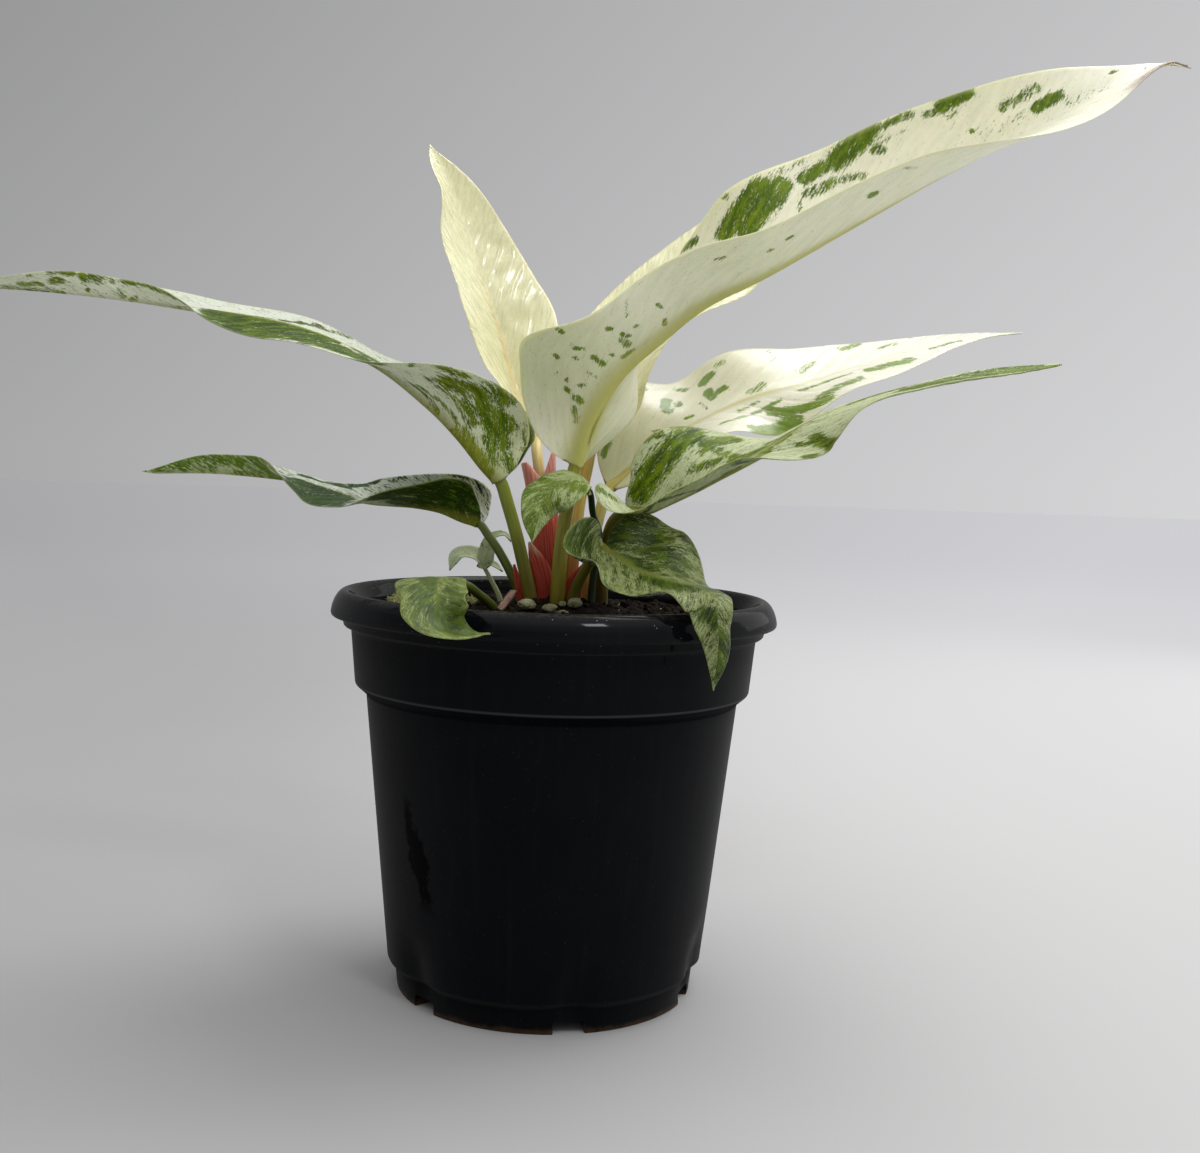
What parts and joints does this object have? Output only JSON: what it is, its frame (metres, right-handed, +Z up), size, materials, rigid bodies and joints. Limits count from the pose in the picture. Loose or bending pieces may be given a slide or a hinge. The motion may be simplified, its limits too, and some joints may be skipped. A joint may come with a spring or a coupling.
{
  "type": "potted variegated anthurium hookeri",
  "caption": "Potted bird's-nest type aroid with long marbled green and cream leaves on upright petioles, red leaf sheaths and a tapered round nursery pot.",
  "frame": {"origin": "centre of the pot's flat base, on the surface it stands on", "axes": "+Z up along the pot's axis; +X to the right as seen from the front, along the plant's widest spread; +Y away from the front"},
  "size_m": [0.2991, 0.127, 0.2346],
  "materials": {
    "leaf_pale": "satin leaf, pale green with green flecks",
    "leaf_cream": "glossy cream leaf",
    "leaf_marbled": "satin leaf marbled green and cream",
    "leaf_deep": "satin leaf, densely marbled deep green",
    "sheath_pink": "satin, pink fading to pale tips",
    "sheath_red": "satin, brick red",
    "stone": "matt stone",
    "moss": "matt",
    "wood": "bare chip",
    "potting_mix": "damp, crumbly",
    "pot_plastic": "satin black plastic"
  },
  "bodies": {
    "root": {"leaf_upper_right": "leaf_pale", "leaf_back": "leaf_cream", "leaf_behind": "leaf_cream", "leaf_right_middle": "leaf_cream", "leaf_right_lower": "leaf_marbled", "leaf_upper_left": "leaf_marbled", "leaf_lower_left": "leaf_deep", "leaf_front_right": "leaf_deep", "leaf_centre": "leaf_marbled", "leaf_front_left": "leaf_marbled", "sheath_tall_left": "sheath_pink", "sheath_tall_right": "sheath_pink", "sheath_front_left": "sheath_red", "sheath_front_right": "sheath_red", "sheath_small_left": "sheath_red", "seedling": "leaf_pale", "pebble_1": "stone", "pebble_2": "stone", "pebble_3": "stone", "pebble_4": "stone", "pebble_5": "stone", "moss_left": "moss", "moss_front": "moss", "wood_chip": "wood", "potting_mix": "potting_mix", "pot": "pot_plastic"}
  },
  "joints": []
}
